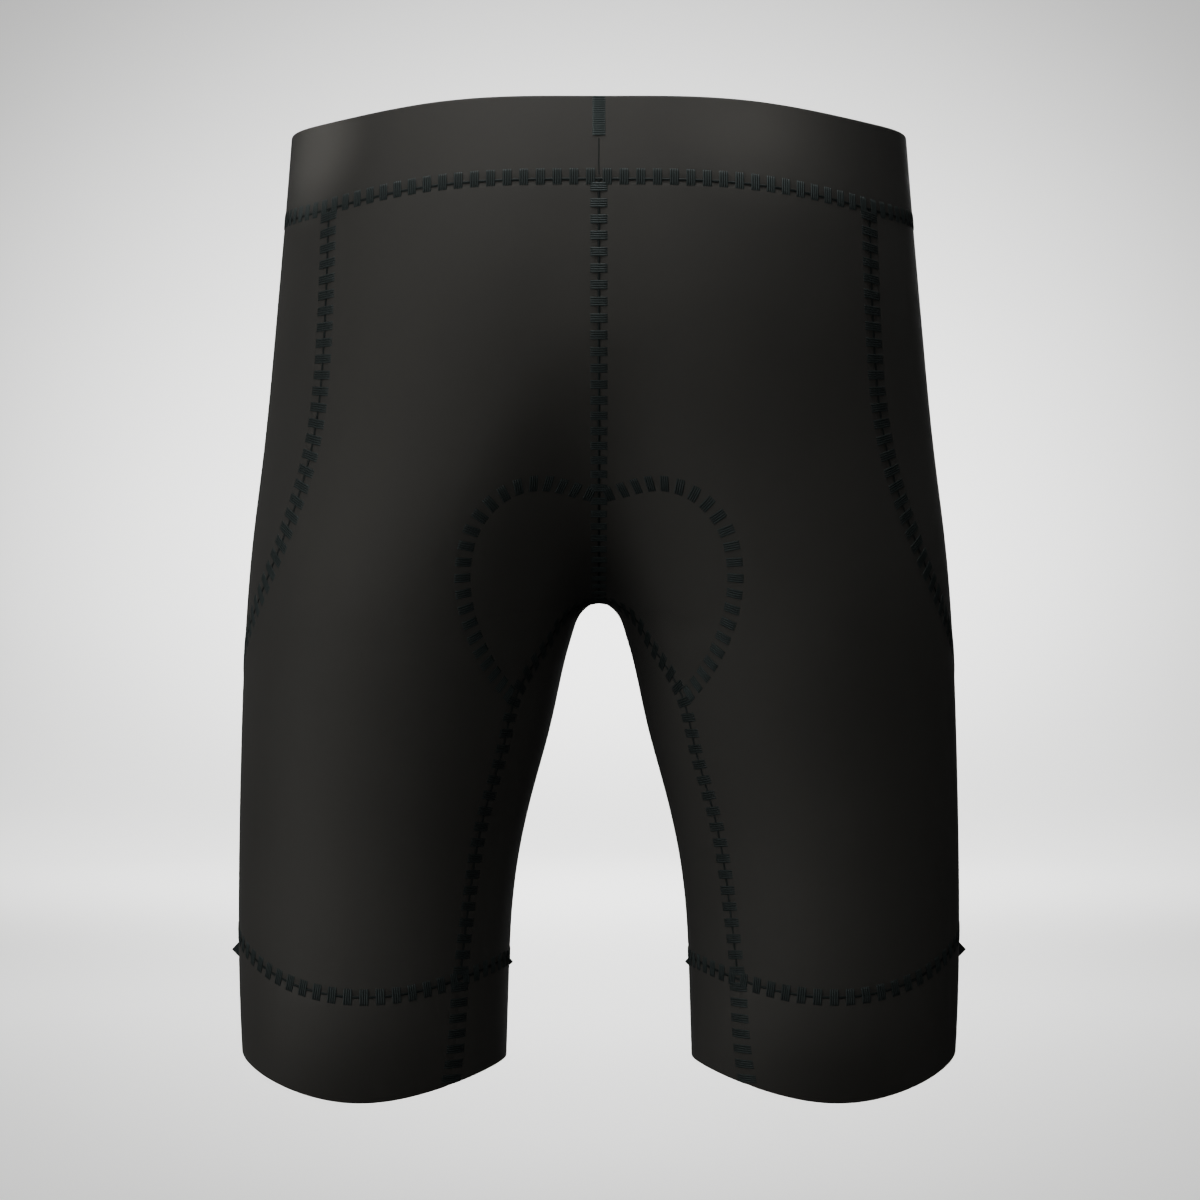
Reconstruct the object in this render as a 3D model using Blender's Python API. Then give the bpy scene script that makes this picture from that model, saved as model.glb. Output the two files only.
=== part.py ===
"""Triathlon shorts with a sewn-on waistband and hem bands, filled out as when worn.

The frame is in metres with +Z up. Its origin is the centre of the waist, level with
the waist edge at the sides. The back faces -Y and the wearer's right side is +X.
Every panel lies on one form, which a map of turn and height describes: a turn of 0
points straight out at the side, negative turns go round the back and positive turns
go round the front, all about the middle of one leg.
"""

import math
from collections import namedtuple

import bmesh
import bpy
import numpy as np
from mathutils import Vector

# Cloth
PANEL_WALL = 0.0016
BAND_WALL = 0.0022
SEAM_GAP = 0.0003

# The crotch: its lowest point, and the height over which its U rises to the straight seat seam
CROTCH = -0.2315
CROTCH_RISE = 0.130
CROTCH_SLACK = 0.2
FORK_TURN = math.radians(9)

# The pointed end of each side insert
INSERT_TIP = -0.266
CORNER_ROW = 10

# Facets of a panel: rows down the body and down the leg, and columns across each piece.
# The leg's rows are closer together near the crotch, by this power of their share.
BODY_ROWS = 16
LEG_ROWS = 10
BACK_COLUMNS = 10
FRONT_COLUMNS = 16
BAND_ROWS = 3
ROW_CROWDING = 1.5

# The share of the middle seam's rows that lies on its straight part
STRAIGHT_SHARE = 0.25

# The rounds in which the foot of the inseam settles on the hem-band seam
SETTLING_ROUNDS = 6

Section = namedtuple("Section", "height outer centre ease back front")
SECTIONS = [
    Section(-0.480, 0.1751, 0.1120, 0.0040, 0.0545, 0.0570),
    Section(-0.445, 0.1770, 0.1119, 0.0052, 0.0700, 0.0690),
    Section(-0.420, 0.1779, 0.1118, 0.0060, 0.0745, 0.0722),
    Section(-0.357, 0.1781, 0.1095, 0.0090, 0.0782, 0.0772),
    Section(-0.297, 0.1768, 0.1035, 0.0120, 0.0868, 0.0860),
    Section(-0.257, 0.1753, 0.0975, 0.0145, 0.0945, 0.0935),
    Section(-0.232, 0.1738, 0.0925, 0.0160, 0.0985, 0.0975),
    Section(-0.200, 0.1710, 0.0805, 0.0220, 0.1035, 0.1020),
    Section(-0.160, 0.1661, 0.0640, 0.0290, 0.1090, 0.1055),
    Section(-0.100, 0.1602, 0.0440, 0.0280, 0.1150, 0.1072),
    Section(-0.040, 0.1551, 0.0320, 0.0250, 0.1090, 0.1062),
    Section(0.000, 0.1520, 0.0270, 0.0220, 0.0998, 0.1015),
    Section(0.020, 0.1505, 0.0250, 0.0200, 0.0945, 0.0985),
]

InnerLeg = namedtuple("InnerLeg", "height inner")
INNER_LEG = [
    InnerLeg(-0.480, 0.0466),
    InnerLeg(-0.456, 0.0459),
    InnerLeg(-0.416, 0.0447),
    InnerLeg(-0.387, 0.0434),
    InnerLeg(-0.357, 0.0399),
    InnerLeg(-0.327, 0.0334),
    InnerLeg(-0.297, 0.0252),
    InnerLeg(-0.257, 0.0161),
    InnerLeg(-0.247, 0.0132),
    InnerLeg(-0.2375, 0.0095),
    InnerLeg(CROTCH, 0.0),
]

# How far behind or before the middle of the leg each seam runs
SideSeam = namedtuple("SideSeam", "height aside")
SIDE_SEAM = [
    SideSeam(INSERT_TIP, 0.0000),
    SideSeam(-0.250, 0.0242),
    SideSeam(-0.230, 0.0473),
    SideSeam(-0.200, 0.0664),
    SideSeam(-0.171, 0.0746),
    SideSeam(-0.133, 0.0782),
    SideSeam(-0.088, 0.0758),
    SideSeam(-0.040, 0.0675),
]

Inseam = namedtuple("Inseam", "height behind")
INSEAM = [
    Inseam(-0.480, 0.0500),
    Inseam(-0.420, 0.0554),
    Inseam(-0.370, 0.0543),
    Inseam(-0.330, 0.0556),
    Inseam(-0.300, 0.0566),
    Inseam(-0.265, 0.0536),
    Inseam(-0.247, 0.0400),
    Inseam(-0.236, 0.0289),
]

# The waist edge and the waistband seam, by the turn in degrees
WaistLine = namedtuple("WaistLine", "turn edge seam")
WAIST_LINE = [
    WaistLine(-100, 0.0036, -0.0364),
    WaistLine(-60, 0.0023, -0.0392),
    WaistLine(-30, -0.0022, -0.0456),
    WaistLine(0, -0.0018, -0.0448),
    WaistLine(30, -0.0062, -0.0470),
    WaistLine(60, -0.0098, -0.0500),
    WaistLine(100, -0.0120, -0.0525),
]

# The hem edge and the hem-band seam: at the outside, at the inside, how far they dip and how
# many degrees further out the dip is deepest
HemLine = namedtuple("HemLine", "outside inside back_dip front_dip shift")
HEM_SEAM = HemLine(-0.3917, -0.4063, 0.0188, 0.0080, 9)
HEM_EDGE = HemLine(-0.4527, -0.4565, 0.0158, 0.0060, 5.4)
DIP_POWER = 2.3

KNIT_COLOUR = (0.0120, 0.0118, 0.0112, 1.0)
BAND_COLOUR = (0.0135, 0.0132, 0.0126, 1.0)
KNIT_ROUGHNESS = 0.78


def curve(rows, name, power=1):
    """A natural cubic spline through one column of a table, over its first column."""
    knots = np.array([row[0] for row in rows])
    values = np.array([getattr(row, name) for row in rows]) ** power
    steps = np.diff(knots)
    slopes = np.diff(values) / steps
    system = np.eye(len(knots))
    change = np.zeros(len(knots))
    for i in range(1, len(knots) - 1):
        system[i, i - 1 : i + 2] = steps[i - 1], 2 * (steps[i - 1] + steps[i]), steps[i]
        change[i] = 6 * (slopes[i] - slopes[i - 1])
    bends = np.linalg.solve(system, change)

    def at(place):
        place = np.clip(place, knots[0], knots[-1])
        i = np.clip(np.searchsorted(knots, place) - 1, 0, len(steps) - 1)
        low = (knots[i + 1] - place) / steps[i]
        high = 1 - low
        bend = (low**3 - low) * bends[i] + (high**3 - high) * bends[i + 1]
        return low * values[i] + high * values[i + 1] + bend * steps[i] ** 2 / 6

    return at


outer_at = curve(SECTIONS, "outer")
centre_at = curve(SECTIONS, "centre")
ease_at = curve(SECTIONS, "ease")
back_at = curve(SECTIONS, "back")
front_at = curve(SECTIONS, "front")
inner_squared_at = curve(INNER_LEG, "inner", power=2)
waist_edge_at = curve(WAIST_LINE, "edge")
waist_seam_at = curve(WAIST_LINE, "seam")


def narrowing(height):
    """One at the crotch, where both legs meet, and zero where the middle seam runs straight."""
    rise = np.clip((height - CROTCH) / CROTCH_RISE, 0, 1)
    return (1 - rise) * (1 + CROTCH_SLACK * rise)


Half = namedtuple("Half", "centre ease outwards inwards")


def half_section(height):
    """The middle of the leg, the ease, and the reach outwards and inwards, at a height."""
    ease = ease_at(height)
    centre = centre_at(height)
    outwards = np.hypot(outer_at(height), ease) - centre
    leg_gap = np.sqrt(np.maximum(inner_squared_at(height), 0) + ease**2)
    body = (centre - ease) / np.maximum(narrowing(height), 1e-5)
    inwards = np.where(height > CROTCH, body, centre - leg_gap)
    return Half(centre, ease, outwards, inwards)


def depth_at(height, behind):
    """How far the form reaches behind or before the middle of the leg."""
    return np.where(behind, back_at(height), front_at(height))


def form(turn, height):
    """The point of the right half's outside at a turn and height.

    The section is an oval of four quarters. The ease rounds it where it meets its mirror
    image: distances from the middle plane are shortened, most where they are small.
    """
    half = half_section(height)
    across = np.cos(turn)
    along = np.sin(turn)
    wide = np.where(across > 0, half.outwards, half.inwards)
    radius = 1 / np.hypot(across / wide, along / depth_at(height, along < 0))
    stretched = half.centre + radius * across
    x = np.sqrt(np.maximum(stretched**2 - half.ease**2, 0))
    return np.stack(np.broadcast_arrays(x, radius * along, height), axis=-1)


def outside(points):
    """Below zero inside the form, zero on it and above zero outside it."""
    x, y, height = points[..., 0], points[..., 1], points[..., 2]
    half = half_section(height)
    across = np.hypot(x, half.ease) - half.centre
    wide = np.where(across > 0, half.outwards, half.inwards)
    return (across / wide) ** 2 + (y / depth_at(height, y < 0)) ** 2 - 1


def normals(points, step=2e-5):
    """The directions that point straight out of the form, on the right half."""
    slopes = [outside(points + axis) - outside(points - axis) for axis in np.eye(3) * step]
    slope = np.stack(slopes, axis=-1)
    return slope / np.linalg.norm(slope, axis=-1, keepdims=True)


def turn_of(height, y, outwards):
    """The turn at which the form lies y before or behind the middle of the leg."""
    half = half_section(height)
    share = np.sqrt(np.maximum(1 - (y / depth_at(height, y < 0)) ** 2, 0))
    return np.arctan2(y, half.outwards * share if outwards else -half.inwards * share)


def middle_turn(height, side):
    """The turn at which the form meets the middle plane, behind (-1) or in front (1)."""
    half = half_section(height)
    y = side * depth_at(height, side < 0) * np.sqrt(1 - narrowing(height) ** 2)
    return np.arctan2(y, half.ease - half.centre)


def hem_height(line, turn):
    """The height of the hem edge or the hem-band seam at a turn."""
    level = (line.outside + line.inside) / 2 + (line.outside - line.inside) / 2 * np.cos(turn)
    shift = math.radians(line.shift)
    behind = np.maximum(-np.sin(turn - shift), 0) ** DIP_POWER
    before = np.maximum(np.sin(turn + shift), 0) ** DIP_POWER
    return level - line.back_dip * behind - line.front_dip * before


def fork():
    """The turn and height where the seat seam and the inseams meet."""
    height = CROTCH + CROTCH_RISE * (1 - math.cos(FORK_TURN))
    return float(middle_turn(height, -1)), height


def middle_seam(side):
    """The seam in the middle plane, from the waistband down to the fork, as turns and heights."""
    share = np.linspace(0, 1, BODY_ROWS + 1)
    top = float(waist_seam_at(90 * side))
    straight_end = CROTCH + CROTCH_RISE
    straight = top + (straight_end - top) * share / STRAIGHT_SHARE
    swing_end = FORK_TURN if side < 0 else -FORK_TURN
    round_share = (share - STRAIGHT_SHARE) / (1 - STRAIGHT_SHARE)
    swing = math.pi / 2 + (swing_end - math.pi / 2) * round_share
    height = np.where(share < STRAIGHT_SHARE, straight, CROTCH + CROTCH_RISE * (1 - np.cos(swing)))
    turn = middle_turn(height, side)
    past_the_bottom = (swing < 0) & (share > STRAIGHT_SHARE)
    turn = np.where(past_the_bottom, middle_turn(height, -side) + 2 * math.pi, turn)
    return np.stack([turn, height], axis=-1)


def inseam(side):
    """The inside leg seam, from the fork down to the hem band."""
    fork_turn, fork_height = fork()
    first = form(fork_turn, fork_height)
    rows = sorted(INSEAM + [Inseam(fork_height, -float(first[1]))])
    behind_at = curve(rows, "behind")
    share = np.linspace(0, 1, LEG_ROWS + 1)[1:] ** ROW_CROWDING
    end = HEM_SEAM.inside
    for _ in range(SETTLING_ROUNDS):
        end = float(hem_height(HEM_SEAM, turn_of(end, -behind_at(end), False)))
    height = fork_height + (end - fork_height) * share
    turn = turn_of(height, -behind_at(height), False)
    turn = turn if side < 0 else turn + 2 * math.pi
    return np.stack([turn, height], axis=-1)


def side_seam(side):
    """The seam between a panel and the side insert, from the waistband down to its tip."""
    aside_at = curve(SIDE_SEAM, "aside")
    start = float(waist_seam_at(30 * side))
    share = np.linspace(0, 1, BODY_ROWS + 1)
    height = start + (INSERT_TIP - start) * share
    depth = 1.0 if side < 0 else front_at(height) / back_at(height)
    turn = turn_of(height, side * aside_at(height) * depth, True)
    height[0] = waist_seam_at(math.degrees(turn[0]))
    return np.stack([turn, height], axis=-1)


def outside_leg():
    """The single seam down the outside of the leg, from the insert's tip to the hem band."""
    height = np.linspace(INSERT_TIP, hem_height(HEM_SEAM, 0), LEG_ROWS + 1)[1:]
    return np.stack([np.zeros_like(height), height], axis=-1)


def line_between(start, end, columns, height_at):
    """An edge that runs round the form from one turn to another at given heights."""
    turn = np.linspace(start, end, columns + 1)
    return np.stack([turn, height_at(turn)], axis=-1)


def patch(top, bottom, left, right, bend=0):
    """The map between four edges. Its rows bend down early (1) or late (-1) from the left."""
    s = np.linspace(0, 1, len(top))
    across = np.stack([s, s + bend * s * (1 - s)], axis=-1)[None]
    down = np.linspace(0, 1, len(left))[:, None, None]
    corners_top = (1 - across) * top[0] + across * top[-1]
    corners_bottom = (1 - across) * bottom[0] + across * bottom[-1]
    sides = (1 - across) * left[:, None] + across * right[:, None]
    ends = (1 - down) * (top - corners_top) + down * (bottom - corners_bottom)
    return sides + ends


def waist_seam_line(turn):
    return waist_seam_at(np.degrees(turn))


def hem_seam_line(turn):
    return hem_height(HEM_SEAM, turn)


def panel_map(side):
    """The map of the back (-1) or front (1) panel of the right half."""
    left = np.concatenate([middle_seam(side), inseam(side)])
    right = np.concatenate([side_seam(side), outside_leg()])
    columns = BACK_COLUMNS if side < 0 else FRONT_COLUMNS
    top = line_between(left[0, 0], right[0, 0], columns, waist_seam_line)
    bottom = line_between(left[-1, 0], right[-1, 0], columns, hem_seam_line)
    return patch(top, bottom, left, right, bend=side)


def insert_map():
    """The map of the right side insert, whose lower edge follows both seams to the tip."""
    back = side_seam(-1)
    front = side_seam(1)
    bottom = np.concatenate([back[CORNER_ROW:], front[CORNER_ROW:-1][::-1]])
    columns = len(bottom) - 1
    top = line_between(back[0, 0], front[0, 0], columns, waist_seam_line)
    return patch(top, bottom, back[: CORNER_ROW + 1], front[: CORNER_ROW + 1])


def waistband_points():
    """Points of the waistband from the join at the centre back right round and back to it."""
    back, front = panel_map(-1)[0], panel_map(1)[0]
    side = insert_map()[0]
    turns = np.concatenate([back[:, 0], side[1:-1, 0], front[::-1, 0]])
    down = np.linspace(0, 1, BAND_ROWS)[:, None]
    edge = waist_edge_at(np.degrees(turns))
    seam = waist_seam_line(turns)
    heights = edge + (seam - edge) * down
    turns = np.broadcast_to(turns, heights.shape).copy()
    turns[:, 0] = middle_turn(heights[:, 0], -1)
    turns[:, -1] = middle_turn(heights[:, -1], 1)
    right_half = form(turns, heights)
    left_half = right_half[:, -2::-1] * (-1, 1, 1)
    return np.concatenate([right_half, left_half], axis=1)


def hem_band_points():
    """Points of the right hem band, from the inseam round the leg and back to it."""
    back, front = panel_map(-1)[-1], panel_map(1)[-1]
    turns = np.concatenate([back[:, 0], front[-2::-1, 0]])
    down = np.linspace(0, 1, BAND_ROWS + 1)[:, None]
    seam = hem_height(HEM_SEAM, turns)
    edge = hem_height(HEM_EDGE, turns)
    heights = seam + (edge - seam) * down
    return form(turns, heights)


def normals_of(points):
    """Outward directions on either half, as mirror images of the right half's."""
    mirror = np.where(points[..., :1] < 0, -1.0, 1.0) * (1, 0, 0) + (0, 1, 1)
    return normals(points * mirror) * mirror


def round_the_edge(rows, columns):
    """The grid places along the border, once round it."""
    top = [(0, j) for j in range(columns - 1)]
    right = [(i, columns - 1) for i in range(rows - 1)]
    bottom = [(rows - 1, j) for j in range(columns - 1, 0, -1)]
    left = [(i, 0) for i in range(rows - 1, 0, -1)]
    return top + right + bottom + left


def trimmed(points):
    """The same grid with its border moved in by half a seam gap, mitred at its corners."""
    outwards = normals_of(points)
    border = round_the_edge(*points.shape[:2])
    ring = np.array([points[place] for place in border])
    tilt = np.array([outwards[place] for place in border])
    ahead = np.roll(ring, -1, axis=0) - ring
    step_in = np.cross(ahead, tilt)
    step_in /= np.linalg.norm(step_in, axis=1, keepdims=True)
    middle = (points.shape[0] // 2, points.shape[1] // 2)
    if np.dot(step_in[len(border) // 8], points[middle] - ring[len(border) // 8]) < 0:
        step_in = -step_in
    before = np.roll(step_in, 1, axis=0)
    mitre = (before + step_in) / (1 + np.sum(before * step_in, axis=1, keepdims=True))
    result = points.copy()
    for place, corner, shift in zip(border, ring, mitre):
        result[place] = corner + shift * SEAM_GAP / 2
    return result


def knit_material(name, colour):
    material = bpy.data.materials.new(name)
    material.use_nodes = True
    shader = material.node_tree.nodes["Principled BSDF"]
    shader.inputs["Base Color"].default_value = colour
    shader.inputs["Roughness"].default_value = KNIT_ROUGHNESS
    shader.inputs["Metallic"].default_value = 0.0
    material.diffuse_color = colour
    return material


def sewn_piece(name, points, wall, colour, collection, side=1):
    """One cut piece of cloth: a sheet on the form, given its wall inwards."""
    points = trimmed(points) * (side, 1, 1)
    rows, columns = points.shape[:2]
    sheet = bmesh.new()
    bmesh.ops.create_grid(sheet, x_segments=columns - 1, y_segments=rows - 1, size=1)
    sheet.verts.ensure_lookup_table()
    for vertex, place in zip(sheet.verts, points.reshape(-1, 3)):
        vertex.co = Vector(place)
    middle = sheet.faces[:][len(sheet.faces) // 2]
    middle_point = np.array(middle.calc_center_median())
    if np.dot(middle.normal, normals_of(middle_point)) < 0:
        bmesh.ops.reverse_faces(sheet, faces=sheet.faces[:])
    shell = bmesh.ops.extrude_face_region(sheet, geom=sheet.faces[:], use_keep_orig=True)
    inner = [item for item in shell["geom"] if isinstance(item, bmesh.types.BMVert)]
    inner_places = np.array([vertex.co for vertex in inner])
    inner_places -= wall * normals_of(inner_places)
    for vertex, place in zip(inner, inner_places):
        vertex.co = Vector(place)
    bmesh.ops.recalc_face_normals(sheet, faces=sheet.faces[:])
    mesh = bpy.data.meshes.new(name)
    sheet.to_mesh(mesh)
    sheet.free()
    if signed_volume(mesh) < 0:
        mesh.flip_normals()
    mesh.shade_smooth()
    mesh.set_sharp_from_angle(angle=math.radians(40))
    mesh.materials.append(knit_material(name + "_knit", colour))
    piece = bpy.data.objects.new(name, mesh)
    collection.objects.link(piece)
    return piece


def signed_volume(mesh):
    solid = bmesh.new()
    solid.from_mesh(mesh)
    volume = solid.calc_volume(signed=True)
    solid.free()
    return volume


def form_of(chart):
    return form(chart[..., 0], chart[..., 1])


def build_shorts():
    shorts = bpy.data.collections.new("triathlon_shorts")
    bpy.context.scene.collection.children.link(shorts)
    sewn_piece("waistband", waistband_points(), BAND_WALL, BAND_COLOUR, shorts)
    panels = {"back": form_of(panel_map(-1)), "front": form_of(panel_map(1)),
              "side": form_of(insert_map())}
    for hand, side in (("right", 1), ("left", -1)):
        for piece, points in panels.items():
            sewn_piece(f"{piece}_{hand}", points, PANEL_WALL, KNIT_COLOUR, shorts, side)
        sewn_piece(f"hem_band_{hand}", hem_band_points(), BAND_WALL, BAND_COLOUR, shorts, side)


for old in list(bpy.data.objects):
    bpy.data.objects.remove(old, do_unlink=True)
build_shorts()
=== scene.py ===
# %% [markdown]
# # Triathlon shorts
# The shorts are seen from behind, filled out as when worn. They are sewn from nine cut
# pieces of black knit with flat seams, and the looks are made in that order: first the
# form that all the cloth lies on, then each cut piece as a thin shell, then the stitches
# as real thread, then the finishes, the studio and the light.

# %% Load the fixed frame
import math
from collections import namedtuple

import bmesh
import bpy
import numpy as np
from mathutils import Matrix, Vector, kdtree


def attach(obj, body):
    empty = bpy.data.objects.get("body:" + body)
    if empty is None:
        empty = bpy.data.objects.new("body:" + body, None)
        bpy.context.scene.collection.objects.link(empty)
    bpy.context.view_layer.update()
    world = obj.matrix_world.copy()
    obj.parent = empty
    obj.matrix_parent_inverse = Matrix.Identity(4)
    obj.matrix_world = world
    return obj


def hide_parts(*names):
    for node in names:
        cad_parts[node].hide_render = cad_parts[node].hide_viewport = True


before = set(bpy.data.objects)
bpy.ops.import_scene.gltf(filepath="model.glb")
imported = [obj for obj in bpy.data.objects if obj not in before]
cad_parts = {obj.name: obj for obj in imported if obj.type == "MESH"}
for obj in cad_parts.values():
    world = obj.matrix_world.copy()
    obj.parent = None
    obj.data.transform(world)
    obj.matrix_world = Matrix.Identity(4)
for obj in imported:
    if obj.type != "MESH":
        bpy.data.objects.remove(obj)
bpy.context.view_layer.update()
print("cut pieces:", sorted(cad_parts))

# %% [markdown]
# The camera comes first, because everything else is seen through it. It stands level
# behind the shorts, a step and a half away, and looks along +Y at their middle.
# A longer lens from further off would flatten the hems, and a shorter one would bow them.

# %% Camera
EYE = Vector((0.0005, -1.45, -0.230))
SEEN_WIDTH = 0.5959
SENSOR = 36.0
FARTHEST_SEEN = 50.0


def placed(name, data):
    """A new object of the scene that holds this mesh, lamp or camera."""
    holder = bpy.data.objects.new(name, data)
    bpy.context.scene.collection.objects.link(holder)
    return holder


def set_camera(place, seen_width):
    """A level camera that sees this width at the middle of the shorts."""
    camera = bpy.data.cameras.new("camera")
    camera.sensor_width = SENSOR
    camera.lens = SENSOR * abs(place.y) / seen_width
    camera.clip_end = FARTHEST_SEEN
    holder = placed("camera", camera)
    holder.location = place
    holder.rotation_euler = (math.radians(90), 0, 0)
    bpy.context.scene.camera = holder
    return camera


print("lens in mm:", round(set_camera(EYE, SEEN_WIDTH).lens, 1))

# %% [markdown]
# ## The form under the cloth
# Close-fitting knit has the shape of what fills it. Sculpting would give that shape but no
# sizes, so it is worked out: the cross-section of one half is an oval of four quarters about
# the middle of the leg, and its sizes change with height. Above the crotch the two ovals
# open into one body over a rise of 130 mm, and below it a second table says how far the
# inside of each leg is from the middle. These are the sizes of the solids, so each shell
# lies where its solid is.

# %% Sizes of the form
Section = namedtuple("Section", "height outer centre ease back front")
SECTIONS = [
    Section(-0.480, 0.1751, 0.1120, 0.0040, 0.0545, 0.0570),
    Section(-0.445, 0.1770, 0.1119, 0.0052, 0.0700, 0.0690),
    Section(-0.420, 0.1779, 0.1118, 0.0060, 0.0745, 0.0722),
    Section(-0.357, 0.1781, 0.1095, 0.0090, 0.0782, 0.0772),
    Section(-0.297, 0.1768, 0.1035, 0.0120, 0.0868, 0.0860),
    Section(-0.257, 0.1753, 0.0975, 0.0145, 0.0945, 0.0935),
    Section(-0.232, 0.1738, 0.0925, 0.0160, 0.0985, 0.0975),
    Section(-0.200, 0.1710, 0.0805, 0.0220, 0.1035, 0.1020),
    Section(-0.160, 0.1661, 0.0640, 0.0290, 0.1090, 0.1055),
    Section(-0.100, 0.1602, 0.0440, 0.0280, 0.1150, 0.1072),
    Section(-0.040, 0.1551, 0.0320, 0.0250, 0.1090, 0.1062),
    Section(0.000, 0.1520, 0.0270, 0.0220, 0.0998, 0.1015),
    Section(0.020, 0.1505, 0.0250, 0.0200, 0.0945, 0.0985),
]

CROTCH = -0.2315
CROTCH_RISE = 0.130
CROTCH_SLACK = 0.2
FORK_TURN = math.radians(9)

InnerLeg = namedtuple("InnerLeg", "height inner")
INNER_LEG = [
    InnerLeg(-0.480, 0.0466),
    InnerLeg(-0.456, 0.0459),
    InnerLeg(-0.416, 0.0447),
    InnerLeg(-0.387, 0.0434),
    InnerLeg(-0.357, 0.0399),
    InnerLeg(-0.327, 0.0334),
    InnerLeg(-0.297, 0.0252),
    InnerLeg(-0.257, 0.0161),
    InnerLeg(-0.247, 0.0132),
    InnerLeg(-0.2375, 0.0095),
    InnerLeg(CROTCH, 0.0),
]

print("sections:", len(SECTIONS), "from", SECTIONS[0].height, "to", SECTIONS[-1].height)

# %% [markdown]
# A few measured sections are joined by a smooth curve. A natural cubic spline passes through
# each of them and bends as little as it can, as a thin wooden batten does.

# %% Smooth curves through the sizes


def curve(rows, name, power=1):
    """A natural cubic spline through one column of a table, over its first column."""
    knots = np.array([row[0] for row in rows])
    values = np.array([getattr(row, name) for row in rows]) ** power
    steps = np.diff(knots)
    slopes = np.diff(values) / steps
    system = np.eye(len(knots))
    change = np.zeros(len(knots))
    for i in range(1, len(knots) - 1):
        system[i, i - 1 : i + 2] = steps[i - 1], 2 * (steps[i - 1] + steps[i]), steps[i]
        change[i] = 6 * (slopes[i] - slopes[i - 1])
    bends = np.linalg.solve(system, change)

    def at(place):
        place = np.clip(place, knots[0], knots[-1])
        i = np.clip(np.searchsorted(knots, place) - 1, 0, len(steps) - 1)
        low = (knots[i + 1] - place) / steps[i]
        high = 1 - low
        bend = (low**3 - low) * bends[i] + (high**3 - high) * bends[i + 1]
        return low * values[i] + high * values[i + 1] + bend * steps[i] ** 2 / 6

    return at


outer_at = curve(SECTIONS, "outer")
centre_at = curve(SECTIONS, "centre")
ease_at = curve(SECTIONS, "ease")
back_at = curve(SECTIONS, "back")
front_at = curve(SECTIONS, "front")
inner_squared_at = curve(INNER_LEG, "inner", power=2)
print("half width at the hips in mm:", round(1000 * float(outer_at(-0.16)), 1))

# %% [markdown]
# A point of the form is named by a turn and a height. Turn 0 points straight out at the side,
# negative turns go round the back and positive turns round the front, about the middle of
# one leg. The two halves are mirror images, and the ease rounds the place where they meet.

# %% The form itself
Half = namedtuple("Half", "centre ease outwards inwards")
LEAST_NARROWING = 1e-5


def narrowing(height):
    """One at the crotch, where both legs meet, and zero where the middle seam runs straight."""
    rise = np.clip((height - CROTCH) / CROTCH_RISE, 0, 1)
    return (1 - rise) * (1 + CROTCH_SLACK * rise)


def half_section(height):
    """The middle of the leg, the ease, and the reach outwards and inwards, at a height."""
    ease = ease_at(height)
    centre = centre_at(height)
    outwards = np.hypot(outer_at(height), ease) - centre
    leg_gap = np.sqrt(np.maximum(inner_squared_at(height), 0) + ease**2)
    body = (centre - ease) / np.maximum(narrowing(height), LEAST_NARROWING)
    inwards = np.where(height > CROTCH, body, centre - leg_gap)
    return Half(centre, ease, outwards, inwards)


def depth_at(height, behind):
    """How far the form reaches behind or before the middle of the leg."""
    return np.where(behind, back_at(height), front_at(height))


def form(turn, height):
    """The point of the right half's outside at a turn and height."""
    half = half_section(height)
    across = np.cos(turn)
    along = np.sin(turn)
    wide = np.where(across > 0, half.outwards, half.inwards)
    radius = 1 / np.hypot(across / wide, along / depth_at(height, along < 0))
    stretched = half.centre + radius * across
    x = np.sqrt(np.maximum(stretched**2 - half.ease**2, 0))
    return np.stack(np.broadcast_arrays(x, radius * along, height), axis=-1)


def form_of(chart):
    """The points of the form for a map of turns and heights."""
    return form(chart[..., 0], chart[..., 1])


print("widest point in mm:", np.round(1000 * form(0.0, -0.40), 1))

# %% [markdown]
# Stitches and walls need to know which way is straight out of the cloth. The form is also
# written as a quantity that is zero on it, and the slope of that quantity points outwards.

# %% Which way is out


def reach_at(x, height):
    """How far x lies from the middle of the leg, and how far the form reaches that way."""
    half = half_section(height)
    across = np.hypot(x, half.ease) - half.centre
    return across, np.where(across > 0, half.outwards, half.inwards)


def outside(points):
    """Below zero inside the form, zero on it and above zero outside it."""
    x, y, height = points[..., 0], points[..., 1], points[..., 2]
    across, wide = reach_at(x, height)
    return (across / wide) ** 2 + (y / depth_at(height, y < 0)) ** 2 - 1


def to_the_right(points):
    """The signs that bring each point over to the right half, which is the one worked out."""
    return np.where(points[..., :1] < 0, -1.0, 1.0) * (1, 0, 0) + (0, 1, 1)


def slope_at(points, step=2e-5):
    """How the quantity above grows, on either half."""
    mirror = to_the_right(points)
    here = points * mirror
    slopes = [outside(here + axis) - outside(here - axis) for axis in np.eye(3) * step]
    return np.stack(slopes, axis=-1) * mirror / (2 * step)


def outwards_at(points):
    """The direction straight out of the cloth at each point."""
    slope = slope_at(points)
    return slope / np.linalg.norm(slope, axis=-1, keepdims=True)


def settled(points, rounds=4):
    """The points moved straight onto the form."""
    for _ in range(rounds):
        slope = slope_at(points)
        height = outside(points * to_the_right(points))
        points = points - slope * (height / np.sum(slope**2, axis=-1))[..., None]
    return points


print("out of the side seam:", np.round(outwards_at(form(0.0, -0.40)), 3))

# %% [markdown]
# ## The pattern
# A garment is designed as seams on the body, and the pieces are what lies between them.
# So every seam is a line of turns and heights. The pieces on both sides of a seam read the
# same line, so they meet along it exactly.

# %% Sizes of the seams
INSERT_TIP = -0.266

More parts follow.
